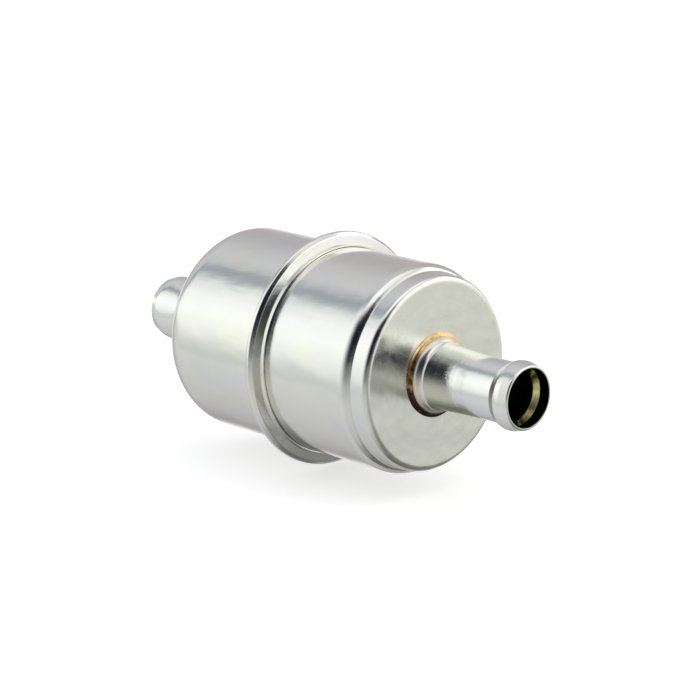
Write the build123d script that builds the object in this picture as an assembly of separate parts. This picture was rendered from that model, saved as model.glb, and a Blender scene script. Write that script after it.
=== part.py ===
from build123d import *
import math
import os

# In-line fuel filter: two drawn steel cans joined by a rolled hem, a beaded hose nipple brazed
# to each end, and a pleated paper element held against the outlet end by a spring.
# The filter's axis runs along X, inlet at -X and outlet at +X. The pieces are drawn with the
# middle of the seam at x = 0 and written out with the middle of the whole length at x = 0.
# All sizes are in millimetres.

# --- drawn cans ---
SHEET = 0.6                # steel sheet of both cans
CAN_RADIUS = 16.5          # outside radius of both cans
INLET_DEPTH = 24.35        # middle of the seam to the outside of the inlet end
INLET_CORNER = 5.4         # outside corner radius of the inlet end
OUTLET_DEPTH = 22.2        # middle of the seam to the outside of the outlet end
OUTLET_CORNER = 0.85       # outside corner radius of the outlet end
SHOULDER_START = 17.25     # middle of the seam to where the outlet can starts to draw in
SHOULDER_LENGTH = 2.05     # length of the S-shaped step
SHOULDER_DROP = 1.05       # how far the neck lies inside the can radius at the step
# Shares of that length and drop where its cones meet: a wide bend on the can, a tight one on the neck.
SHOULDER_SHAPE = ((0, 0), (0.46, 0.21), (0.85, 0.85), (1, 1))
NECK_TAPER = 0.15          # further loss of radius from the step to the outlet end

# --- rolled seam ---
FLANGE_WIDTH = 2.34        # rim of the seam beyond the can radius
RIM_ROUND = 0.7            # rounding of the rim's two edges
HEM_GAP = 0.42             # between the cut edge of the hem and the outlet can
ROOT_FILLET = 0.4          # metal in the root of the outlet flange, behind the cut edge
SEAL_DEPTH = 0.45          # sealing compound beyond the edge of the outlet flange

# --- hose nipples ---
TUBE_RADIUS = 4.75
TUBE_WALL = 0.7
OUTLET_REACH = 18.85       # outside of the outlet end to the mouth
INLET_REACH = 15.75        # outside of the inlet end to the mouth
COLLAR_RADIUS = 5.94       # upset collar that sits on the can's end
COLLAR_SKIRT = 0.8         # straight side of the collar
COLLAR_HEIGHT = 1.7        # full height of the collar with its sloping top
BEAD_RADIUS = 5.38         # bead that keeps the hose on
BEAD_LAND = 1.35           # straight top of the bead
BEAD_FLANK = 0.9           # slope from the tube up to the top of the bead
BEAD_NOSE = 1.6            # slope from the top of the bead down to the mouth
MOUTH_RADIUS = 4.9         # outside radius at the mouth
MOUTH_BORE = 4.55          # bore inside the bead
MOUTH_DEPTH = 1.9          # depth of that bore from the mouth
MOUTH_SLOPE = 1.0          # slope from it down to the bore of the tube
OUTLET_TAIL = 3.4          # tail of the outlet nipple beyond the inside of the can's end
INLET_TAIL = 1.2           # the same for the inlet nipple

# --- copper braze ---
BRAZE_WIDTH = 0.7          # braze fillet on the can's end, beyond the collar
BRAZE_HEIGHT = 0.5

# --- filter element ---
CAP_SHEET = 0.4            # tinplate of both end caps
FLOW_GAP = 1.1             # between the caps and the narrowest bore of the cans
CAP_RIM = 3.2              # height of a cap's rim, with its sheet
CAP_NECK = 3.0             # neck of the outlet cap, with its sheet
POTTING = 1.6              # adhesive that bonds the pleats into a cap
CORE_SHEET = 0.4           # core tube
WINDOW_LENGTH = 5.2        # windows of the core tube, along the tube
WINDOW_WIDTH = 3.8         # and across it
WINDOW_ROWS = 4
WINDOWS = 5                # windows in a row
WINDOW_MARGIN = 5.0        # inside of a cap to the middle of the first row
PAPER = 0.4                # pleated paper
PLEATS = 24
FOLD_GAP = 0.4             # between the two layers of a pleat at its outer fold
CORE_GAP = 0.3             # between the inner folds and the core tube
RIM_GAP = 0.5              # between the outer folds and the rims of the caps
CLIP_SHEET = 0.3           # clip over the pleat where the paper's two ends meet
CLIP_DEPTH = 3.0
CLIP_GAP = 0.05            # between the clip and the paper

# --- grommet ---
GROMMET_WALL = 1.15        # rubber between the nipple's tail and the cap's neck
GROMMET_FLANGE = 1.6       # rubber between the cap and the can's end
GROMMET_BRIM = 2.4         # flange of the grommet beyond its sleeve
GROMMET_SLEEVE = 2.8       # sleeve of the grommet, from the cap's outside

# --- spring spider ---
SPRING_SHEET = 0.5
SPRING_HEIGHT = 4.5        # inlet end to the inlet cap
SPRING_HUB = 7.6           # outside radius of the ring that lies on the inlet end
SPRING_ARMS = 4
ARM_WIDTH = 5.0
ARM_FOOT = 2.2             # flat foot of an arm on the cap
ARM_HOOK = 1.8             # tip of an arm that hooks over the rim of the cap
SPRING_GAP = 0.2           # from the ring to the nipple's tail, and from a hook to the cap

# --- derived sizes ---
HALF_HEM = 1.5 * SHEET                       # the hem is three sheets thick
RIM_RADIUS = CAN_RADIUS + FLANGE_WIDTH
FLANGE_EDGE = RIM_RADIUS - SHEET - SEAL_DEPTH
NECK_RADIUS = CAN_RADIUS - SHOULDER_DROP
END_RADIUS = NECK_RADIUS - NECK_TAPER
INLET_MOUTH = INLET_DEPTH + INLET_REACH
OUTLET_MOUTH = OUTLET_DEPTH + OUTLET_REACH
MIDDLE = (OUTLET_MOUTH - INLET_MOUTH) / 2
TUBE_BORE = TUBE_RADIUS - TUBE_WALL
INLET_INSIDE = SHEET - INLET_DEPTH           # inside faces of the two can ends
OUTLET_INSIDE = OUTLET_DEPTH - SHEET
NECK_BORE = TUBE_RADIUS + GROMMET_WALL
CORE_BORE = NECK_BORE + CAP_SHEET
CORE_RADIUS = CORE_BORE + CORE_SHEET
CAP_RADIUS = END_RADIUS - SHEET - FLOW_GAP
RIM_BORE = CAP_RADIUS - CAP_SHEET
MEDIA_INSIDE = CORE_RADIUS + CORE_GAP
MEDIA_RADIUS = RIM_BORE - RIM_GAP
INLET_CAP = INLET_INSIDE + SPRING_HEIGHT     # outside faces of the two end caps
OUTLET_CAP = OUTLET_INSIDE - GROMMET_FLANGE
CAP_SPAN = (INLET_CAP + CAP_SHEET, OUTLET_CAP - CAP_SHEET)
MEDIA_SPAN = (CAP_SPAN[0] + POTTING, CAP_SPAN[1] - POTTING)
FLAT = 2.9                                   # length of the flats that make a rounded corner


def turned(outline):
    """Solid turned about the filter's axis from a closed outline of (x, radius) points."""
    return revolve(make_face(Polyline(*outline, close=True)), Axis.X)


def parallel(points, distance):
    """Path at an even distance to the right of an open path of (x, y) points."""
    ways = []
    for (x0, y0), (x1, y1) in zip(points, points[1:]):
        length = math.hypot(x1 - x0, y1 - y0)
        ways.append(((x1 - x0) / length, (y1 - y0) / length))
    shifted = []
    for i, (x, y) in enumerate(points):
        ax, ay = ways[max(i - 1, 0)]
        bx, by = ways[min(i, len(ways) - 1)]
        spread = distance / (1 + ax * bx + ay * by)
        shifted.append((x + (ay + by) * spread, y - (ax + bx) * spread))
    return shifted


def rounded(path):
    """Points of a path of (x, radius, corner radius). A corner radius above 0 is followed in
    even flats between its tangent points, so that the mesh stays light."""
    points = [path[0][:2]]
    for (x0, y0, _), (x, y, corner), (x1, y1, _) in zip(path, path[1:], path[2:]):
        if corner <= 0:
            points.append((x, y))
            continue
        way = math.atan2(y - y0, x - x0)
        turn = math.remainder(math.atan2(y1 - y, x1 - x) - way, math.tau)
        reach = corner * math.tan(abs(turn) / 2)
        flats = max(1, round(corner * abs(turn) / FLAT))
        normal = way + math.copysign(math.pi / 2, turn)
        cx = x - reach * math.cos(way) + corner * math.cos(normal)
        cy = y - reach * math.sin(way) + corner * math.sin(normal)
        for i in range(flats + 1):
            spoke = normal + turn * i / flats
            points.append((cx - corner * math.cos(spoke), cy - corner * math.sin(spoke)))
    return points + [path[-1][:2]]


def pressed(path, sheet):
    """Turned sheet piece. The path of (x, radius, corner radius) is its outer skin and bends to
    the right round the sheet. Inside, a corner tighter than the sheet is sharp."""
    inside = []
    for (x, y), (_, _, corner) in zip(parallel([point[:2] for point in path], sheet), path):
        inside.append((x, y, corner - sheet if corner > 2 * sheet else 0))
    return turned(rounded(path) + rounded(inside)[::-1])


def inlet_shell():
    """Plain drawn cup whose flange is folded back over the outlet can's flange."""
    return pressed([
        (-INLET_DEPTH, TUBE_RADIUS, 0),
        (-INLET_DEPTH, CAN_RADIUS, INLET_CORNER),
        (-HALF_HEM, CAN_RADIUS, 0),
        (-HALF_HEM, RIM_RADIUS, RIM_ROUND),
        (HALF_HEM, RIM_RADIUS, RIM_ROUND),
        (HALF_HEM, CAN_RADIUS + HEM_GAP, 0),
    ], SHEET)


def outlet_shell():
    """Drawn cup with an S-shaped step before its flat end, and a plain flange in the hem."""
    step = [
        (SHOULDER_START + SHOULDER_LENGTH * along, CAN_RADIUS - SHOULDER_DROP * down, 0)
        for along, down in SHOULDER_SHAPE
    ]
    cup = pressed([
        (SHEET / 2, FLANGE_EDGE, 0),
        (SHEET / 2, CAN_RADIUS, 0),
        *step,
        (OUTLET_DEPTH, END_RADIUS, OUTLET_CORNER),
        (OUTLET_DEPTH, TUBE_RADIUS, 0),
    ], SHEET)
    root = turned([
        (SHEET / 2, CAN_RADIUS), (SHEET / 2, CAN_RADIUS + ROOT_FILLET), (HALF_HEM, CAN_RADIUS)])
    return cup + root


def seam_seal():
    """Ring of sealing compound between the edge of the outlet flange and the fold of the hem."""
    fold = RIM_RADIUS - SHEET
    return turned([
        (-SHEET / 2, FLANGE_EDGE), (-SHEET / 2, fold), (SHEET / 2, fold), (SHEET / 2, FLANGE_EDGE)])


def nipple(depth, reach, tail):
    """Hose nipple that points along +X: a tube with a tail through the can's end, an upset
    collar on the end, and a bead behind the mouth."""
    mouth = depth + reach
    land_end = mouth - BEAD_NOSE
    land_start = land_end - BEAD_LAND
    root = land_start - BEAD_FLANK
    tail_end = depth - SHEET - tail
    return turned([
        (tail_end, TUBE_BORE),
        (tail_end, TUBE_RADIUS),
        (depth, TUBE_RADIUS),
        (depth, COLLAR_RADIUS),
        (depth + COLLAR_SKIRT, COLLAR_RADIUS),
        (depth + COLLAR_HEIGHT, TUBE_RADIUS),
        (root, TUBE_RADIUS),
        (land_start, BEAD_RADIUS),
        (land_end, BEAD_RADIUS),
        (mouth, MOUTH_RADIUS),
        (mouth, MOUTH_BORE),
        (mouth - MOUTH_DEPTH, MOUTH_BORE),
        (mouth - MOUTH_DEPTH - MOUTH_SLOPE, TUBE_BORE),
    ])


def braze_ring(depth):
    """Copper braze fillet round the collar of a nipple."""
    return turned([
        (depth, COLLAR_RADIUS),
        (depth, COLLAR_RADIUS + BRAZE_WIDTH),
        (depth + BRAZE_HEIGHT, COLLAR_RADIUS),
    ])


def inlet_end_cap():
    """Closed tinplate cap."""
    return pressed([
        (INLET_CAP, 0, 0),
        (INLET_CAP, CAP_RADIUS, 0),
        (INLET_CAP + CAP_RIM, CAP_RADIUS, 0),
    ], CAP_SHEET)


def outlet_end_cap():
    """Tinplate cap with a drawn neck that carries the core tube and takes the grommet."""
    return pressed([
        (OUTLET_CAP - CAP_RIM, CAP_RADIUS, 0),
        (OUTLET_CAP, CAP_RADIUS, 0),
        (OUTLET_CAP, NECK_BORE, 0),
        (OUTLET_CAP - CAP_NECK, NECK_BORE, 0),
    ], CAP_SHEET)


def potting(cap, media):
    """Ring of adhesive between the core tube and the rim of a cap, from the cap to the pleats."""
    return turned([(cap, CORE_RADIUS), (cap, RIM_BORE), (media, RIM_BORE), (media, CORE_RADIUS)])


def core_tube():
    """Tube inside the pleats, with every other row of windows turned half a step."""
    start, end = CAP_SPAN
    tube = turned([(start, CORE_BORE), (start, CORE_RADIUS), (end, CORE_RADIUS), (end, CORE_BORE)])
    step = (end - start - 2 * WINDOW_MARGIN) / (WINDOW_ROWS - 1)
    punch = Box(WINDOW_LENGTH, WINDOW_WIDTH, 4 * CORE_SHEET)
    for row in range(WINDOW_ROWS):
        x = start + WINDOW_MARGIN + row * step
        for window in range(WINDOWS):
            angle = (window + row % 2 / 2) * 360 / WINDOWS
            tube -= Rot(X=angle) * Pos(x, 0, CORE_RADIUS - CORE_SHEET) * punch
    return tube


def pleat(turn):
    """Outside of one pleat in the plane across the axis, from root to root, as (y, z) points.
    The turn is in degrees from straight up."""
    half_fold = math.degrees((PAPER + FOLD_GAP / 2) / MEDIA_RADIUS)
    half_root = math.degrees(PAPER / 2 / MEDIA_INSIDE)
    half_pitch = 180 / PLEATS
    root = MEDIA_INSIDE + PAPER
    points = []
    for radius, offset in ((root, half_root - half_pitch), (MEDIA_RADIUS, -half_fold),
                           (MEDIA_RADIUS, half_fold), (root, half_pitch - half_root)):
        angle = math.radians(turn + offset)
        points.append((-radius * math.sin(angle), radius * math.cos(angle)))
    return points


def across(face, start, end):
    """Solid from a face drawn in the plane across the axis, between two places along it."""
    return Pos(start, 0, 0) * extrude(Plane.YZ * face, end - start, dir=(1, 0, 0))


def pleated_media():
    """Paper folded into pleats and joined into a ring."""
    skin = []
    for i in range(PLEATS + 1):
        skin += pleat(i * 360 / PLEATS)
    inner = parallel(skin, -PAPER)[1:-3]
    outer = skin[1:-3]
    ring = make_face(Polyline(*outer, close=True)) - make_face(Polyline(*inner, close=True))
    return across(ring, *MEDIA_SPAN)


def seam_clip():
    """Folded steel clip over the top pleat, where the two ends of the paper meet."""
    fold = pleat(0)
    band = parallel(fold, CLIP_GAP) + parallel(fold, CLIP_GAP + CLIP_SHEET)[::-1]
    keep = Pos(0, MEDIA_RADIUS + CLIP_GAP + CLIP_SHEET) * Rectangle(
        4 * CLIP_DEPTH, CLIP_DEPTH, align=(Align.CENTER, Align.MAX))
    return across(make_face(Polyline(*band, close=True)) & keep, *MEDIA_SPAN)


def outlet_grommet():
    """Rubber seal: a sleeve in the outlet cap's neck and a flange against the can's end."""
    brim = NECK_BORE + GROMMET_BRIM
    return turned([
        (OUTLET_CAP - GROMMET_SLEEVE, TUBE_RADIUS),
        (OUTLET_CAP - GROMMET_SLEEVE, NECK_BORE),
        (OUTLET_CAP, NECK_BORE),
        (OUTLET_CAP, brim),
        (OUTLET_INSIDE, brim),
        (OUTLET_INSIDE, TUBE_RADIUS),
    ])


def spring_spider():
    """Stamped spring that presses the element to the outlet: a ring round the nipple's tail, and
    arms that slope down to the inlet cap and hook over its rim."""
    bore = TUBE_RADIUS + SPRING_GAP
    hook = CAP_RADIUS + SPRING_GAP
    hub = turned([
        (INLET_INSIDE, bore), (INLET_INSIDE, SPRING_HUB),
        (INLET_INSIDE + SPRING_SHEET, SPRING_HUB), (INLET_INSIDE + SPRING_SHEET, bore)])
    path = [
        (INLET_INSIDE, (bore + SPRING_HUB) / 2),
        (INLET_INSIDE, SPRING_HUB),
        (INLET_CAP - SPRING_SHEET, hook + SPRING_SHEET - ARM_FOOT),
        (INLET_CAP - SPRING_SHEET, hook + SPRING_SHEET),
        (INLET_CAP + ARM_HOOK, hook + SPRING_SHEET),
    ]
    side = make_face(Polyline(*path, *parallel(path, SPRING_SHEET)[::-1], close=True))
    arm = extrude(side, ARM_WIDTH / 2, both=True)
    spider = hub
    for i in range(SPRING_ARMS):
        spider += Rot(X=(i + 0.5) * 360 / SPRING_ARMS) * arm
    return spider


PIECES = {
    "inlet_shell": inlet_shell(),
    "outlet_shell": outlet_shell(),
    "seam_seal": seam_seal(),
    "inlet_nipple": mirror(nipple(INLET_DEPTH, INLET_REACH, INLET_TAIL), Plane.YZ),
    "outlet_nipple": nipple(OUTLET_DEPTH, OUTLET_REACH, OUTLET_TAIL),
    "inlet_braze_ring": mirror(braze_ring(INLET_DEPTH), Plane.YZ),
    "outlet_braze_ring": braze_ring(OUTLET_DEPTH),
    "inlet_end_cap": inlet_end_cap(),
    "outlet_end_cap": outlet_end_cap(),
    "inlet_potting": potting(CAP_SPAN[0], MEDIA_SPAN[0]),
    "outlet_potting": potting(CAP_SPAN[1], MEDIA_SPAN[1]),
    "core_tube": core_tube(),
    "pleated_media": pleated_media(),
    "seam_clip": seam_clip(),
    "outlet_grommet": outlet_grommet(),
    "spring_spider": spring_spider(),
}

os.makedirs("parts", exist_ok=True)
for name, piece in PIECES.items():
    export_step(Pos(-MIDDLE, 0, 0) * piece, f"parts/{name}.step")
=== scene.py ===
import math

import bpy
import numpy as np
from mathutils import Matrix, Vector


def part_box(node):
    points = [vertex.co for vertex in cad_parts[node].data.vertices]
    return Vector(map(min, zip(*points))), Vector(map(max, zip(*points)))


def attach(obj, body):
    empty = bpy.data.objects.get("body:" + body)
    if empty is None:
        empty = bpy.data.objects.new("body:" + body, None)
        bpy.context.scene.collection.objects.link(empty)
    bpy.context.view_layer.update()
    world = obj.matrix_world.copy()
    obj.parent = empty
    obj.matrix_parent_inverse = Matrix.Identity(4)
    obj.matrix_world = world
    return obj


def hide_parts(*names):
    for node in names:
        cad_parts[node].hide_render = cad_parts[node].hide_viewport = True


# In-line fuel filter that lies along X: its inlet is at -X, its outlet at +X, and the hemmed seam
# of its two cans near the middle. The outer pieces are made anew here as turned surfaces, and the
# solids inside keep their shapes and get their finishes.
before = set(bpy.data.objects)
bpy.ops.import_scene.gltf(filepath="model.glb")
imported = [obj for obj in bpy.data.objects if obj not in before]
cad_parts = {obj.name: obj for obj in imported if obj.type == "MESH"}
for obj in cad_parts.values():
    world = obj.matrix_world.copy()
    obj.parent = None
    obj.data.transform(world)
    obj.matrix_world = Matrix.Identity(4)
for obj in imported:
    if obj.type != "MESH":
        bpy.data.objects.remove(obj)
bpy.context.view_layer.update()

# ---------------------------------------------------------------- sizes, in metres, from the frame
MM = 0.001
SHEET = 0.6 * MM                     # sheet of both cans
FLANGE_WIDTH = 2.34 * MM             # rim of the seam beyond the cans
# Boxes of the outer solids: the lowest corner, then the highest.
INLET_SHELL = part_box("inlet_shell")
OUTLET_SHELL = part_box("outlet_shell")
INLET_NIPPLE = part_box("inlet_nipple")
OUTLET_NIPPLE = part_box("outlet_nipple")
RIM_RADIUS = INLET_SHELL[1][2]
CAN_RADIUS = RIM_RADIUS - FLANGE_WIDTH
SEAM = INLET_SHELL[1][0] - 1.5 * SHEET
INLET_END = INLET_SHELL[0][0]
OUTLET_END = OUTLET_SHELL[1][0]
FLANGE_EDGE = OUTLET_SHELL[1][2]
COLLAR_RADIUS = OUTLET_NIPPLE[1][2]
BRAZE_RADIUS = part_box("outlet_braze_ring")[1][2]
TUBE_RADIUS = 4.75 * MM              # nipples, between their collar and their bead
TUBE_BORE = 4.05 * MM                # radius of their bore
MOUTH_BORE = 4.55 * MM               # radius of the wide bore in their mouth
CAN_FACETS = 288                     # round the axis
TUBE_FACETS = 192


# ---------------------------------------------------------------- camera
def add_camera():
    """Long lens at 46 degrees round from -Y towards +X and 14.5 degrees up, aimed beside the seam."""
    turn, climb = math.radians(46.0), math.radians(14.5)
    aim_right, aim_down = 0.1297, 0.0157     # of the middle of the seam, in can radii
    distance = 24.296                        # from the aim, in can radii
    back = Vector((math.sin(turn) * math.cos(climb), -math.cos(turn) * math.cos(climb), math.sin(climb)))
    right = Vector((math.cos(turn), math.sin(turn), 0))
    up = back.cross(right)
    aim = Vector((SEAM, 0, 0)) + CAN_RADIUS * (aim_right * right - aim_down * up)
    data = bpy.data.cameras.new("camera")
    data.sensor_width = 36.0
    data.lens = 129.8
    data.clip_start = 0.01
    camera = bpy.data.objects.new("camera", data)
    camera.matrix_world = Matrix.Translation(aim + distance * CAN_RADIUS * back) @ Matrix(
        (right, up, back)).transposed().to_4x4()
    bpy.context.scene.collection.objects.link(camera)
    bpy.context.scene.camera = camera


add_camera()


# ---------------------------------------------------------------- surfaces of revolution
def rounded_outline(corners, step):
    """Points and outward normals of a closed outline of (x, radius, corner radius) corners, walked
    with the solid on the right. Each corner is an arc tangent to both of its sides, and the sides
    between the arcs are straight, so the normal turns only along the arcs, one point for about
    every `step` degrees of turn."""
    here = np.array([c[:2] for c in corners], float)
    size = np.array([c[2] for c in corners], float)
    before, after = np.roll(here, 1, axis=0), np.roll(here, -1, axis=0)
    way_in, way_out = here - before, after - here
    way_in /= np.linalg.norm(way_in, axis=1)[:, None]
    way_out /= np.linalg.norm(way_out, axis=1)[:, None]
    turn = np.arctan2(way_in[:, 0] * way_out[:, 1] - way_in[:, 1] * way_out[:, 0],
                      np.sum(way_in * way_out, axis=1))
    points, normals = [], []
    for p, r, w, t in zip(here, size, way_in, turn):
        side = math.copysign(1.0, t)
        normal = side * np.array((-w[1], w[0]))
        centre = p - r * math.tan(abs(t) / 2) * w + r * normal
        count = max(2, int(math.degrees(abs(t)) / step) + 2)
        angle = math.atan2(-normal[1], -normal[0]) + np.linspace(0, t, count)
        spoke = np.stack((np.cos(angle), np.sin(angle)), axis=1)
        points.append(centre + r * spoke)
        normals.append(-side * spoke)
    return np.concatenate(points), np.concatenate(normals)


def turned(name, corners, material, facets, step=8, swell=None):
    """Solid turned about the X axis: the outline's points (x, r) go round as
    (x, -r sin t, r cos t). A swell, if given, is a function of x, r and t that adds to r."""
    outline, tilt = rounded_outline(corners, step)
    t = np.linspace(0, 2 * np.pi, facets, endpoint=False)[:, None]
    x = np.broadcast_to(outline[:, 0], (facets, len(outline)))
    r = np.broadcast_to(outline[:, 1], x.shape)
    if swell is not None:
        r = r + swell(x, r, t)
    grid = np.stack((x, -r * np.sin(t), r * np.cos(t)), axis=-1)
    normals = np.stack((np.broadcast_to(tilt[:, 0], x.shape), -tilt[:, 1] * np.sin(t),
                        tilt[:, 1] * np.cos(t)), axis=-1)
    return closed_grid(name, grid, normals, material)


def closed_grid(name, grid, normals, material):
    """Mesh from a grid of points that closes on itself in both directions, one quad per cell."""
    rows, columns = grid.shape[:2]
    index = np.arange(rows * columns).reshape(rows, columns)
    down, across = np.roll(index, -1, axis=0), np.roll(index, -1, axis=1)
    both = np.roll(down, -1, axis=1)
    faces = np.stack((index, down, both, across), axis=-1).reshape(-1, 4)
    mesh = bpy.data.meshes.new(name)
    mesh.from_pydata(grid.reshape(-1, 3), [], faces.tolist())
    mesh.polygons.foreach_set("use_smooth", np.ones(len(faces), bool))
    mesh.update()
    mesh.normals_split_custom_set_from_vertices(normals.reshape(-1, 3))
    mesh.materials.append(material)
    piece = bpy.data.objects.new(name, mesh)
    bpy.context.scene.collection.objects.link(piece)
    return piece


# ---------------------------------------------------------------- node trees
class Nodes:
    """Short forms for the nodes of one tree. A value is a socket, a number or an RGB colour."""

    def __init__(self, tree, coordinates):
        self.nodes, self.links = tree.nodes, tree.links
        self.place = self.nodes.new("ShaderNodeTexCoord").outputs[coordinates]

    def link(self, value, socket):
        if isinstance(value, (int, float)):
            socket.default_value = value
        elif isinstance(value, tuple):
            socket.default_value = (*value, 1)
        else:
            self.links.new(value, socket)

    def axes(self):
        split = self.nodes.new("ShaderNodeSeparateXYZ")
        self.link(self.place, split.inputs[0])
        return split.outputs

    def calc(self, kind, a, b=None):
        node = self.nodes.new("ShaderNodeMath")
        node.operation = kind
        self.link(a, node.inputs[0])
        if b is not None:
            self.link(b, node.inputs[1])
        return node.outputs[0]

    def spread(self, value, low, high, to_low=0.0, to_high=1.0, kind="LINEAR"):
        """The value from low..high to to_low..to_high, clamped. Low may be above high."""
        node = self.nodes.new("ShaderNodeMapRange")
        node.interpolation_type = kind
        for key, number in (("From Min", low), ("From Max", high), ("To Min", to_low), ("To Max", to_high)):
            node.inputs[key].default_value = number
        self.link(value, node.inputs["Value"])
        return node.outputs["Result"]

    def mix(self, factor, a, b):
        node = self.nodes.new("ShaderNodeMix")
        node.data_type = "RGBA"
        self.link(factor, node.inputs["Factor"])
        self.link(a, node.inputs["A"])
        self.link(b, node.inputs["B"])
        return node.outputs["Result"]

    def ramp(self, angle, stops):
        """Colour by an angle in radians, through stops of (degrees, level, tint)."""
        low, high = stops[0][0], stops[-1][0]
        node = self.nodes.new("ShaderNodeValToRGB")
        band = node.color_ramp.elements
        for i, (degrees, level, tint) in enumerate(stops):
            place = (degrees - low) / (high - low)
            stop = band[0] if i == 0 else band[-1] if place == 1 else band.new(place)
            stop.position = place
            stop.color = (*(level * c for c in tint), 1)
        self.link(self.spread(angle, math.radians(low), math.radians(high)), node.inputs[0])
        return node.outputs[0]


class Finish(Nodes):
    """A material made of procedural nodes in Object coordinates, so scales are grains per metre."""

    def __init__(self, name, color, roughness, metallic=0.0):
        self.material = bpy.data.materials.new(name)
        self.material.use_nodes = True
        super().__init__(self.material.node_tree, "Object")
        self.shader = self.nodes["Principled BSDF"]
        self.set(Base_Color=color, Metallic=metallic, Roughness=roughness)

    def set(self, **sockets):
        for key, value in sockets.items():
            self.link(value, self.shader.inputs[key.replace("_", " ")])
        return self.material

    def axis_place(self):
        """Place along the X axis and distance from it."""
        x, y, z = self.axes()
        square = self.calc("ADD", self.calc("MULTIPLY", y, y), self.calc("MULTIPLY", z, z))
        return x, self.calc("SQRT", square)

    def noise(self, scale, detail=3.0, roughness=0.55, stretch=(1, 1, 1), distortion=0.0):
        """Cloudy noise. A stretch below 1 along an axis draws its grains out along that axis."""
        mapping = self.nodes.new("ShaderNodeMapping")
        mapping.inputs["Scale"].default_value = stretch
        self.link(self.place, mapping.inputs["Vector"])
        node = self.nodes.new("ShaderNodeTexNoise")
        self.link(mapping.outputs["Vector"], node.inputs["Vector"])
        for key, number in (("Scale", scale), ("Detail", detail), ("Roughness", roughness),
                            ("Distortion", distortion)):
            node.inputs[key].default_value = number
        return node.outputs["Fac"]

    def noise_along(self, value, scale, detail):
        """Noise that changes with one value only."""
        node = self.nodes.new("ShaderNodeTexNoise")
        node.noise_dimensions = "1D"
        self.link(value, node.inputs["W"])
        node.inputs["Scale"].default_value = scale
        node.inputs["Detail"].default_value = detail
        return node.outputs["Fac"]

    def bump(self, height, depth, under=None):
        """Relief of the given depth, on top of the relief `under`."""
        node = self.nodes.new("ShaderNodeBump")
        node.inputs["Distance"].default_value = depth
        self.link(height, node.inputs["Height"])
        if under is not None:
            self.link(under, node.inputs["Normal"])
        return node.outputs["Normal"]


def toned(color, *factors):
    """The colour with each channel times its factor."""
    return tuple(c * k for c, k in zip(color, factors))


# ---------------------------------------------------------------- materials
def zinc_plate(name, tint, rough, marks, mark_depth):
    """Zinc plate with a clear yellowish passivate. Its tint is cloudy, marks stretched by `marks`
    and fine specks soften reflections, and shallow dents and a slow sway of the surface bend them.
    The flat ends are duller and almost free of dents, with faint press rings. The collars are
    stained by the brazing, and inside the bore the plate is thin and olive."""
    speck_depth, dent_depth, sway_depth, ring_depth = 0.0014 * MM, 0.038 * MM, 0.12 * MM, 0.025 * MM
    dull_end, dull_stain = 0.10, 0.14        # added to the roughness
    stained, olive = (0.70, 0.62, 0.50), (0.62, 0.60, 0.40)
    finish = Finish(name, tint, metallic=1.0, roughness=rough)
    x, out = finish.axis_place()

    near_collar = finish.spread(out, COLLAR_RADIUS + 0.7 * MM, COLLAR_RADIUS + 0.5 * MM)
    ends = finish.calc("MAXIMUM", finish.spread(x, OUTLET_END - 0.3 * MM, OUTLET_END - 0.05 * MM),
                       finish.spread(x, INLET_END + 0.3 * MM, INLET_END + 0.05 * MM))
    ends = finish.calc("MULTIPLY", ends, finish.spread(near_collar, 1, 0))
    stain = finish.calc("MULTIPLY", finish.spread(x, OUTLET_END + 1.9 * MM, OUTLET_END + 1.3 * MM),
                        finish.spread(x, INLET_END - 1.9 * MM, INLET_END - 1.3 * MM))
    stain = finish.calc("MULTIPLY", stain, near_collar)
    inside = finish.spread(out, MOUTH_BORE + 0.17 * MM, MOUTH_BORE + 0.01 * MM)

    cloud = finish.noise(90, 4, 0.6)
    drawn = finish.noise(900, 3, 0.6, stretch=marks)
    speck = finish.noise(2600, 2, 0.5)
    dent = finish.noise(330, 4, 0.6, stretch=(0.5, 1, 1), distortion=0.5)
    sway = finish.noise(230, 1, 0.5, stretch=(0.8, 1, 1))
    rings = finish.noise_along(out, 480, 1)

    warm, cool = toned(tint, 1.0, 0.995, 0.955), toned(tint, 0.955, 0.965, 0.98)
    color = finish.mix(finish.spread(cloud, 0.38, 0.62), warm, cool)
    color = finish.mix(ends, color, toned(tint, 1.0, 1.0, 0.94))
    patchy = finish.calc("MULTIPLY", stain, finish.spread(dent, 0.3, 0.7, 0.2, 0.9))
    color = finish.mix(patchy, color, stained)
    color = finish.mix(inside, color, olive)

    dull = finish.calc("ADD", finish.spread(cloud, 0.35, 0.65, rough - 0.02, rough + 0.03),
                       finish.spread(drawn, 0.35, 0.65, -0.02, 0.04))
    dull = finish.calc("ADD", dull, finish.spread(ends, 0, 1, 0, dull_end))
    dull = finish.calc("ADD", dull, finish.spread(stain, 0, 1, 0, dull_stain))

    dent = finish.calc("MULTIPLY", dent, finish.spread(ends, 0, 1, 1, 0.02))
    rings = finish.calc("MULTIPLY", rings, finish.spread(ends, 0, 1, 0.1, 1))
    relief = finish.bump(drawn, mark_depth)
    relief = finish.bump(speck, speck_depth, relief)
    relief = finish.bump(dent, dent_depth, relief)
    relief = finish.bump(sway, sway_depth, relief)
    relief = finish.bump(rings, ring_depth, relief)
    return finish.set(Base_Color=color, Roughness=dull, Normal=relief)


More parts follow.
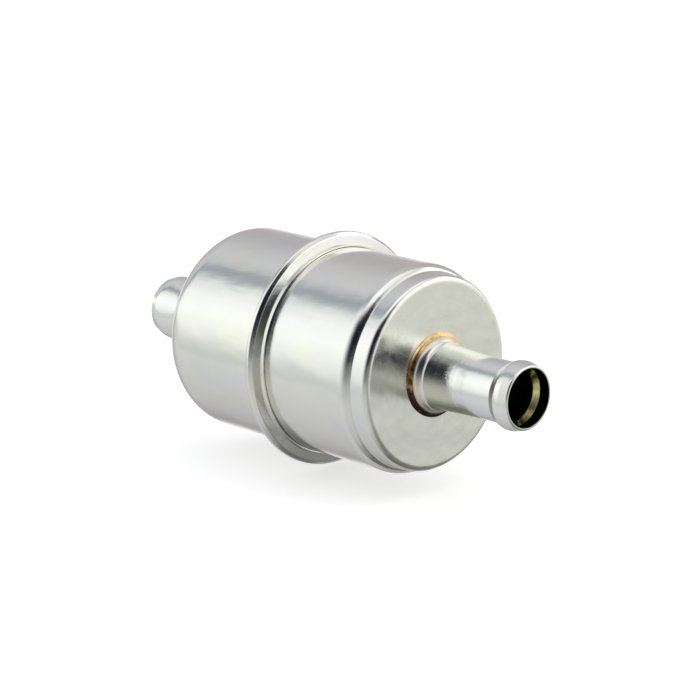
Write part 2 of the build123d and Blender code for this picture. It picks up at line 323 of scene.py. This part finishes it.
def braze_copper():
    """Copper-rich braze metal in cloudy patches of brown oxide, with painted shade that darkens it from
    gold on top of the ring to brown and nearly black towards its underside."""
    gold, brown, shade_black = (0.86, 0.62, 0.30), (0.28, 0.12, 0.05), (0.055, 0.04, 0.025)
    finish = Finish("braze_copper", (0.72, 0.42, 0.20), metallic=1.0, roughness=0.3)
    height = finish.axes()["Z"]
    cloud = finish.noise(420, 4, 0.6)
    # Oxide patches from the cloud, plus painted shade that darkens the ring towards its underside by
    # height.
    oxide_and_shade = finish.calc("ADD", finish.spread(cloud, 0.32, 0.68),
                        finish.spread(height, 6 * MM, -6 * MM, -0.32, 0.82))
    color = finish.mix(oxide_and_shade, gold, brown)
    color = finish.mix(finish.spread(oxide_and_shade, 0.65, 1.1), color, shade_black)
    return finish.set(Base_Color=color, Roughness=finish.spread(cloud, 0.3, 0.7, 0.16, 0.34),
                      Normal=finish.bump(finish.noise(1600, 3), 0.02 * MM))


def tinplate():
    """Bright tin over steel, with the faint grains of a flowed coating."""
    finish = Finish("tinplate", (0.78, 0.77, 0.74), metallic=1.0, roughness=0.24)
    grain = finish.nodes.new("ShaderNodeTexVoronoi")
    finish.link(finish.place, grain.inputs["Vector"])
    grain.inputs["Scale"].default_value = 380
    tone = finish.calc("ADD", grain.outputs["Distance"], finish.noise(700, 3))
    color = finish.mix(finish.spread(tone, 0.5, 1.3), (0.82, 0.81, 0.77), (0.66, 0.66, 0.66))
    return finish.set(Base_Color=color, Roughness=finish.spread(tone, 0.5, 1.3, 0.18, 0.34),
                      Normal=finish.bump(finish.noise(1800, 3, stretch=(1, 0.2, 1)), 0.002 * MM))


def spring_steel():
    """Blued strip with rolling marks."""
    finish = Finish("spring_steel", (0.34, 0.36, 0.42), metallic=1.0, roughness=0.3)
    marks = finish.noise(1500, 3, 0.6, stretch=(1, 0.08, 1))
    blue = finish.noise(120, 3, 0.6)
    color = finish.mix(finish.spread(blue, 0.35, 0.65), (0.30, 0.34, 0.44), (0.44, 0.40, 0.38))
    return finish.set(Base_Color=color, Roughness=finish.spread(marks, 0.3, 0.7, 0.22, 0.40),
                      Normal=finish.bump(marks, 0.002 * MM))


def filter_paper():
    """Resin-treated paper: matted fibres, with darker resin here and there."""
    finish = Finish("filter_paper", (0.78, 0.66, 0.40), roughness=0.85)
    fibre = finish.noise(2400, 5, 0.7, stretch=(0.35, 1, 1), distortion=1.2)
    resin = finish.noise(160, 4, 0.6)
    color = finish.mix(finish.spread(resin, 0.35, 0.65), (0.82, 0.71, 0.46), (0.68, 0.53, 0.29))
    color = finish.mix(finish.spread(fibre, 0.4, 0.7, 0, 0.35), color, (0.90, 0.84, 0.66))
    return finish.set(Base_Color=color, Normal=finish.bump(fibre, 0.03 * MM),
                      Roughness=finish.spread(fibre, 0.3, 0.7, 0.75, 0.95))


def cast_compound(name, light, dark, rough, grain):
    """Poured or moulded compound: smooth skin with slight flow marks and a fine grain."""
    finish = Finish(name, light, roughness=rough)
    flow = finish.noise(140, 3, 0.5, distortion=1.0)
    fine = finish.noise(grain, 3, 0.6)
    color = finish.mix(finish.spread(flow, 0.35, 0.65), light, dark)
    relief = finish.bump(fine, 0.006 * MM, finish.bump(flow, 0.03 * MM))
    return finish.set(Base_Color=color, Roughness=finish.spread(fine, 0.3, 0.7, rough - 0.08, rough + 0.1),
                      Normal=relief)


def dress(material, *names):
    """Give solids that are kept from the frame their material."""
    for name in names:
        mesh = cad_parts[name].data
        mesh.materials.clear()
        mesh.materials.append(material)


# The cans' marks run along the axis, from drawing, and the tubes' run round it, from turning.
plate = zinc_plate("zinc_plated_can", (0.80, 0.80, 0.785), 0.13, (0.06, 1, 1), 0.0018 * MM)
bright_plate = zinc_plate("zinc_plated_tube", (0.82, 0.825, 0.80), 0.10, (3, 0.2, 0.2), 0.011 * MM)
copper = braze_copper()
dress(tinplate(), "inlet_end_cap", "outlet_end_cap", "core_tube", "seam_clip")
dress(spring_steel(), "spring_spider")
dress(filter_paper(), "pleated_media")
dress(cast_compound("potting_compound", (0.40, 0.42, 0.36), (0.30, 0.32, 0.28), 0.5, 1500),
      "inlet_potting", "outlet_potting")
dress(cast_compound("fuel_proof_rubber", (0.024, 0.024, 0.026), (0.014, 0.014, 0.015), 0.6, 3000),
      "outlet_grommet")
dress(cast_compound("seam_compound", (0.36, 0.24, 0.12), (0.24, 0.15, 0.07), 0.45, 1800), "seam_seal")


# ---------------------------------------------------------------- the two cans
HALF_HEM = 1.5 * SHEET               # three layers of sheet
HEM_GAP = 0.05 * MM                  # between the edge of the hem and the outlet can
HEM_CREST = -0.06 * MM               # from the seam to where the rim starts to round off
# Corners of the hem's front: distance from the seam towards the outlet, height above the can.
HEM_BROW = (0.43 * MM, 1.78 * MM)    # end of the rim's rounding
HEM_LEDGE = (0.70 * MM, 0.46 * MM)   # foot of the front, at the back of the ledge on the lip
HEM_LIP = (1.25 * MM, 0.31 * MM)     # front of the ledge
INLET_CORNER = 5.4 * MM              # outer radius of the rounded inlet end
OUTLET_CORNER = 1.1 * MM             # outer radius of the outlet end's corner
FLANGE_BEND = 0.35 * MM              # where a can turns out into its flange
FLANGE_BEND_INSIDE = 0.3 * MM
RIM_ROUND = 0.5 * MM                 # folded edge of the hem
RIM_ROUND_FRONT = 0.45 * MM
CUT_EDGE = 0.05 * MM                 # rounding of cut edges
STEP_START = 17.25 * MM              # from the seam to the start of the outlet can's step
STEP_LENGTH = 2.05 * MM
STEP_DROP = 1.05 * MM
STEP_WIDE_SHARE = 0.85               # share of the step that its wide arc takes
STEP_BEND_SHARE = 0.98               # of the largest arcs that fit, so that the slope keeps a flat
STEP_BEND_SHARE_INSIDE = 0.9
NECK_TAPER = 0.15 * MM


def inlet_can():
    """Plain drawn cup with the rounded inlet end, its flange folded round the outlet can's. The
    front of the hem leans back towards the rim, and at its foot a narrow ledge leads to the lip."""
    x0, x1 = INLET_END, INLET_END + SHEET
    r0, r1 = CAN_RADIUS, CAN_RADIUS - SHEET
    fold = RIM_RADIUS - SHEET
    corners = [
        (x0, TUBE_RADIUS, CUT_EDGE),
        (x0, r0, INLET_CORNER),
        (SEAM - HALF_HEM, r0, FLANGE_BEND),
        (SEAM - HALF_HEM, RIM_RADIUS, RIM_ROUND),
        (SEAM + HEM_CREST, RIM_RADIUS, RIM_ROUND_FRONT),
        (SEAM + HEM_BROW[0], r0 + HEM_BROW[1], RIM_ROUND),
        (SEAM + HEM_LEDGE[0], r0 + HEM_LEDGE[1], 0.08 * MM),
        (SEAM + HEM_LIP[0], r0 + HEM_LIP[1], 0.06 * MM),
        (SEAM + HEM_LIP[0], r0 + HEM_GAP, 0.03 * MM),
        (SEAM + SHEET / 2, r0 + HEM_GAP, 0.03 * MM),
        (SEAM + SHEET / 2, fold, 0.1 * MM),
        (SEAM - SHEET / 2, fold, 0.1 * MM),
        (SEAM - SHEET / 2, r1, FLANGE_BEND_INSIDE),
        (x1, r1, INLET_CORNER - SHEET),
        (x1, TUBE_RADIUS, CUT_EDGE),
    ]
    piece = turned("inlet_can", corners, plate, CAN_FACETS, step=5)
    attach(piece, "root")
    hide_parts("inlet_shell")


def outlet_can():
    """Drawn cup with an S-shaped step before its flat outlet end. The S is two arcs that meet on
    a common slope, a wide one on the can and a tight one on the neck. The slope's angle is twice
    that of the step's diagonal, and both arcs' radii together are the length over its sine."""
    r0 = CAN_RADIUS
    neck, end = r0 - STEP_DROP, r0 - STEP_DROP - NECK_TAPER
    slope = 2 * math.atan(STEP_DROP / STEP_LENGTH)
    both_arcs = STEP_LENGTH / math.sin(slope)
    reach = both_arcs * math.tan(slope / 2)
    wide, tight = STEP_WIDE_SHARE * reach, (1 - STEP_WIDE_SHARE) * reach
    start, stop = SEAM + STEP_START + wide, SEAM + STEP_START + STEP_LENGTH - tight
    wide_bend, tight_bend = STEP_WIDE_SHARE * both_arcs, (1 - STEP_WIDE_SHARE) * both_arcs
    shift = SHEET * math.tan(slope / 2)      # of the inner outline's bends along the axis
    outside = [
        (SEAM + SHEET / 2, FLANGE_EDGE, CUT_EDGE),
        (SEAM + SHEET / 2, r0, FLANGE_BEND),
        (start, r0, STEP_BEND_SHARE * wide_bend),
        (stop, neck, STEP_BEND_SHARE * tight_bend),
        (OUTLET_END, end, OUTLET_CORNER),
        (OUTLET_END, TUBE_RADIUS, CUT_EDGE),
    ]
    inside = [
        (OUTLET_END - SHEET, TUBE_RADIUS, CUT_EDGE),
        (OUTLET_END - SHEET, end - SHEET, 0.25 * MM),
        (stop - shift, neck - SHEET, STEP_BEND_SHARE_INSIDE * (tight_bend + SHEET)),
        (start - shift, r0 - SHEET, STEP_BEND_SHARE_INSIDE * (wide_bend - SHEET)),
        (SEAM - SHEET / 2, r0 - SHEET, FLANGE_BEND_INSIDE),
        (SEAM - SHEET / 2, FLANGE_EDGE, CUT_EDGE),
    ]
    piece = turned("outlet_can", outside + inside, plate, CAN_FACETS, step=4)
    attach(piece, "root")
    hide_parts("outlet_shell")


inlet_can()
outlet_can()


# ---------------------------------------------------------------- nipples and their braze
COLLAR_HEIGHT = 1.0 * MM             # from the can's end to the collar's front corner
COLLAR_ROUND = 1.0 * MM
FLARE_START = 1.75 * MM              # from the can's end to where the collar passes into the flare
FLARE_RADIUS = 5.13 * MM             # there
FLARE_END = 8.6 * MM                 # from the can's end to the straight tube
BEAD_RADIUS = 5.38 * MM
BEAD_BACK = 2.6 * MM                 # from the mouth to the bead's back corner, before it is rounded
BEAD_FRONT = 1.6 * MM                # and to its front corner
OUTLET_FLANK = 3.65 * MM             # from the mouth to the foot of the bead's slope
INLET_FLANK = 5.2 * MM
MOUTH_RADIUS = 4.9 * MM
MOUTH_DEPTH = 1.9 * MM               # wide bore
THROAT_DEPTH = 2.9 * MM              # from the mouth to the narrow bore
BRAZE_SPREAD = 0.25 * MM             # foot of the braze beyond that of the solid
BRAZE_HEIGHT = 0.66 * MM             # braze along the collar
BRAZE_HOLLOW = (0.25 * MM, 0.32 * MM)    # corner of its hollow face, from the can and the collar


def hose_nipple(name, node, can_end, mouth, tail, way, flank):
    """Tube that flares into an upset collar on the can, with a rounded bead behind the mouth. The
    outline is drawn from the tail in the can outwards and back through the bore, and `way` is +1
    or -1 along X."""
    def beyond(distance):
        """Place outside the can's end."""
        return can_end + way * distance

    def behind(distance):
        """Place inward of the mouth."""
        return mouth - way * distance

    corners = [
        (tail, TUBE_BORE, 0.1 * MM),
        (tail, TUBE_RADIUS, 0.1 * MM),
        (can_end, TUBE_RADIUS, 0.01 * MM),
        (can_end, COLLAR_RADIUS, 0.05 * MM),
        (beyond(COLLAR_HEIGHT), COLLAR_RADIUS, COLLAR_ROUND),
        (beyond(FLARE_START), FLARE_RADIUS, 1.2 * MM),
        (beyond(FLARE_END), TUBE_RADIUS, 30 * MM),
        (behind(flank), TUBE_RADIUS, 0.5 * MM),
        (behind(BEAD_BACK), BEAD_RADIUS, 2.0 * MM),
        (behind(BEAD_FRONT), BEAD_RADIUS, 2.4 * MM),
        (mouth, MOUTH_RADIUS, 0.3 * MM),
        (mouth, MOUTH_BORE, 0.06 * MM),
        (behind(MOUTH_DEPTH), MOUTH_BORE, 0.12 * MM),
        (behind(THROAT_DEPTH), TUBE_BORE, 0.6 * MM),
    ]
    piece = turned(name, corners[::way], bright_plate, TUBE_FACETS, step=6)
    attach(piece, "root")
    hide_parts(node)


def braze_ring(name, node, can_end, way):
    """Fillet of braze metal with a hollow face, its foot a little uneven round the collar."""
    foot, top = BRAZE_RADIUS + BRAZE_SPREAD, COLLAR_RADIUS
    corners = [
        (can_end, top, 0.02 * MM),
        (can_end, foot, 0.05 * MM),
        (can_end + way * BRAZE_HOLLOW[0], top + BRAZE_HOLLOW[1], 0.6 * MM),
        (can_end + way * BRAZE_HEIGHT, top, 0.03 * MM),
    ]

    def uneven(x, r, t):
        """Three sines of the turn, of 3, 7 and 13 waves, draw the foot in by up to 0.1 mm. What
        lies on the collar stays."""
        lobes = np.sin(3 * t + 1.0) + 0.7 * np.sin(7 * t + 2.1) + 0.4 * np.sin(13 * t)
        return np.where(r > top + 0.1 * MM, -0.05 * MM * (1 + lobes / 2.1), 0)

    piece = turned(name, corners[::way], copper, TUBE_FACETS, swell=uneven)
    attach(piece, "root")
    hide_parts(node)


hose_nipple("outlet_hose_nipple", "outlet_nipple", OUTLET_END, mouth=OUTLET_NIPPLE[1][0],
            tail=OUTLET_NIPPLE[0][0], way=1, flank=OUTLET_FLANK)
hose_nipple("inlet_hose_nipple", "inlet_nipple", INLET_END, mouth=INLET_NIPPLE[0][0],
            tail=INLET_NIPPLE[1][0], way=-1, flank=INLET_FLANK)
braze_ring("outlet_braze", "outlet_braze_ring", OUTLET_END, way=1)
braze_ring("inlet_braze", "inlet_braze_ring", INLET_END, way=-1)


# ---------------------------------------------------------------- floor and studio light
def add_floor():
    """Square of pale floor just below the rim of the seam. It glows a little, so that it stays
    nearly white round the soft shadow, and reflections don't show it."""
    low = -RIM_RADIUS - 0.3 * MM
    half = 6.0
    mesh = bpy.data.meshes.new("floor")
    mesh.from_pydata([(-half, -half, low), (half, -half, low), (half, half, low), (-half, half, low)],
                     [], [(0, 1, 2, 3)])
    finish = Finish("pale_floor", (0.93, 0.93, 0.93), roughness=0.9)
    mesh.materials.append(finish.set(Emission_Color=(1, 1, 1), Emission_Strength=0.5))
    floor = bpy.data.objects.new("floor", mesh)
    bpy.context.scene.collection.objects.link(floor)
    floor.visible_glossy = False


# The studio's light, as (degrees, level, tint) stops. First by the angle round the filter's axis:
# 0 is straight up, 90 is level towards -Y, and -90 is level towards +Y.
ROUND_AXIS = (
    (-180, 0.48, (1.00, 1.0, 1.01)),
    (-160, 0.40, (1.03, 1.0, 1.01)),
    (-148, 0.31, (1.06, 1.0, 1.01)),
    (-139, 0.37, (1.04, 1.0, 1.0)),
    (-130, 0.66, (1.02, 1.0, 1.01)),
    (-108, 0.68, (1.03, 1.0, 1.01)),
    (-98, 0.73, (1.03, 1.0, 1.01)),
    (-89, 0.58, (1.04, 1.0, 1.04)),
    (-80, 0.40, (1.07, 1.0, 1.06)),
    (-66, 0.39, (1.07, 1.0, 1.06)),
    (-50, 0.41, (1.03, 1.0, 1.04)),
    (-20, 0.53, (1.0, 1.0, 1.03)),
    (-3, 0.57, (0.99, 1.0, 1.04)),
    (8, 0.50, (0.96, 1.0, 1.05)),
    (12, 0.37, (0.93, 1.0, 1.07)),
    (18, 0.35, (0.91, 1.0, 1.07)),
    (24, 0.46, (0.93, 1.0, 1.03)),
    (30, 0.76, (0.96, 1.0, 0.99)),
    (40, 0.88, (0.98, 1.0, 0.98)),
    (52, 0.98, (0.985, 1.0, 0.98)),
    (68, 1.02, (0.98, 1.0, 0.955)),
    (90, 0.89, (0.985, 1.0, 0.95)),
    (106, 0.66, (0.965, 1.0, 0.965)),
    (112, 0.58, (0.965, 1.0, 0.99)),
    (120, 0.63, (0.985, 1.0, 0.99)),
    (150, 0.56, (0.99, 1.0, 1.01)),
    (180, 0.48, (1.00, 1.0, 1.01)),
)
# Then by the height above the level: on the side that the outlet looks at, ...
OUTLET_SIDE = (
    (-90, 0.25, (1.0, 1.0, 0.97)),
    (-78, 0.32, (1.0, 1.0, 0.97)),
    (-67, 0.42, (1.0, 1.0, 0.97)),
    (-55, 0.51, (1.0, 1.0, 0.97)),
    (-42, 0.55, (1.0, 1.0, 0.97)),
    (-28, 0.55, (1.0, 1.0, 0.97)),
    (-15, 0.45, (1.0, 1.0, 0.96)),
    (-7, 0.31, (1.0, 1.01, 0.95)),
    (0, 0.17, (1.0, 1.02, 0.94)),
    (9, 0.04, (1.0, 1.02, 1.0)),
    (20, 0.013, (0.75, 0.95, 1.8)),
    (34, 0.011, (0.70, 0.95, 2.0)),
    (46, 0.04, (0.90, 1.0, 1.3)),
    (55, 0.45, (1.0, 1.0, 1.0)),
    (64, 0.92, (1.0, 1.0, 1.0)),
    (90, 1.00, (1.0, 1.0, 1.0)),
)
# ... at the camera's right hand, ...
RIGHT_SIDE = (
    (-90, 0.24, (1.0, 1.01, 0.94)),
    (-62, 0.27, (1.0, 1.01, 0.94)),
    (-50, 0.29, (1.0, 1.01, 0.94)),
    (-38, 0.32, (1.0, 1.01, 0.92)),
    (-24, 0.37, (1.0, 1.0, 0.95)),
    (-12, 0.30, (1.0, 1.0, 0.95)),
    (0, 0.16, (1.0, 1.02, 0.92)),
    (12, 0.045, (1.0, 1.03, 0.90)),
    (32, 0.022, (1.0, 1.06, 0.98)),
    (46, 0.04, (1.0, 1.02, 1.0)),
    (53, 0.14, (1.0, 1.01, 1.0)),
    (57, 0.70, (1.0, 1.0, 1.0)),
    (62, 1.05, (1.0, 1.0, 1.0)),
    (90, 1.00, (1.0, 1.0, 1.0)),
)
# ... and behind the outlet.
FAR_SIDE = (
    (-90, 0.12, (1.0, 1.01, 0.95)),
    (-50, 0.15, (1.0, 1.01, 0.95)),
    (-30, 0.22, (1.0, 1.01, 0.96)),
    (-20, 0.46, (1.0, 1.01, 0.98)),
    (-14, 0.62, (1.0, 1.01, 0.98)),
    (0, 0.80, (1.0, 1.01, 0.98)),
    (15, 1.05, (1.0, 1.01, 0.98)),
    (26, 1.18, (1.0, 1.01, 0.98)),
    (38, 1.12, (1.0, 1.01, 0.98)),
    (47, 0.62, (1.0, 1.0, 0.99)),
    (58, 0.85, (1.0, 1.0, 0.99)),
    (75, 0.95, (1.0, 1.0, 0.99)),
    (90, 1.00, (1.0, 1.0, 0.99)),
)
# Headings over which each side takes over, in degrees: 0 looks towards -Y and 90 towards +X.
SIDES = ((-28, 34, OUTLET_SIDE), (58, 84, RIGHT_SIDE), (82, 108, FAR_SIDE))


def add_studio():
    """World light of soft ramps: bands that run along the filter's axis, and on the outlet's side
    a dim room between a bright ceiling and the table, which opens to a bright wall behind the
    outlet. Straight rays see a pale wall."""
    world = bpy.data.worlds.new("studio")
    bpy.context.scene.world = world
    world.use_nodes = True
    studio = Nodes(world.node_tree, "Generated")
    x, y, z = studio.axes()
    toward = studio.calc("MULTIPLY", y, -1)
    heading, rise = studio.calc("ARCTAN2", x, toward), studio.calc("ARCSINE", z)
    light = studio.ramp(studio.calc("ARCTAN2", toward, z), ROUND_AXIS)
    for start, end, side in SIDES:
        past = studio.spread(heading, math.radians(start), math.radians(end), kind="SMOOTHSTEP")
        light = studio.mix(past, light, studio.ramp(rise, side))
    straight = studio.nodes.new("ShaderNodeLightPath").outputs["Is Camera Ray"]
    back = studio.nodes["Background"]
    studio.link(studio.mix(straight, light, (0.75, 0.75, 0.75)), back.inputs["Color"])
    back.inputs["Strength"].default_value = 1.25


add_floor()
add_studio()
bpy.context.scene.view_settings.view_transform = "Standard"
